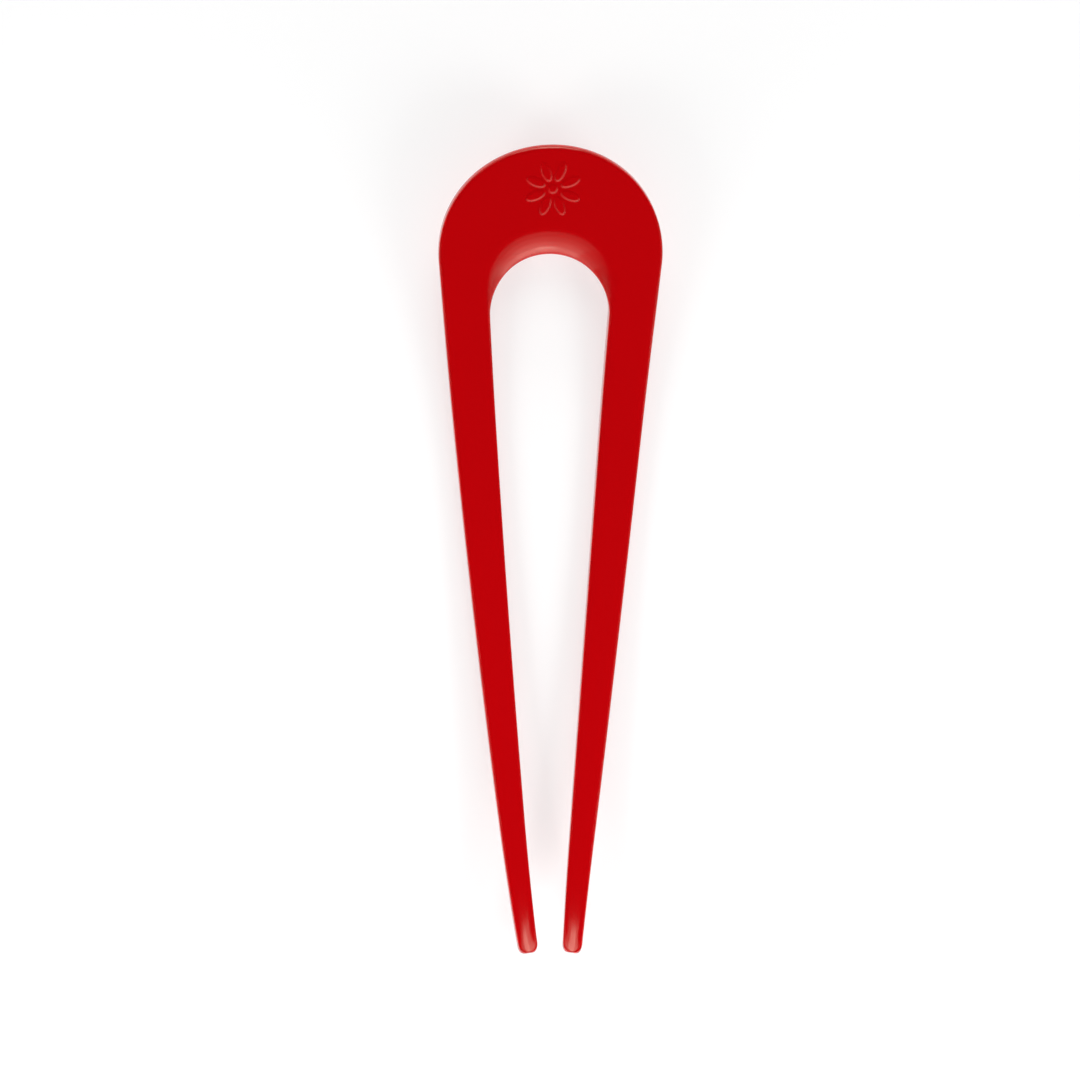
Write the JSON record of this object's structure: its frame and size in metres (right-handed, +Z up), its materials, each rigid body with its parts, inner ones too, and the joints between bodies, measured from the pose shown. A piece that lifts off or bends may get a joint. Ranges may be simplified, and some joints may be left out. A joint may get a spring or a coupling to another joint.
{
  "type": "french hair pin",
  "caption": "U-shaped French hair pin with a round head, an arched slot and two tapering prongs, bent along its length.",
  "frame": {"origin": "bottom centre of the pin's box, on the surface that the pin lies on, under the middle of its length", "axes": "+Y along the pin towards its head, +Z up out of its front, +X to the right seen from the front with the head up"},
  "size_m": [0.0332, 0.1192, 0.0113],
  "materials": {
    "moulded_plastic": "smooth moulded plastic, plain deep red, glossy"
  },
  "bodies": {
    "root": {"hair_pin": "moulded_plastic"}
  },
  "joints": []
}
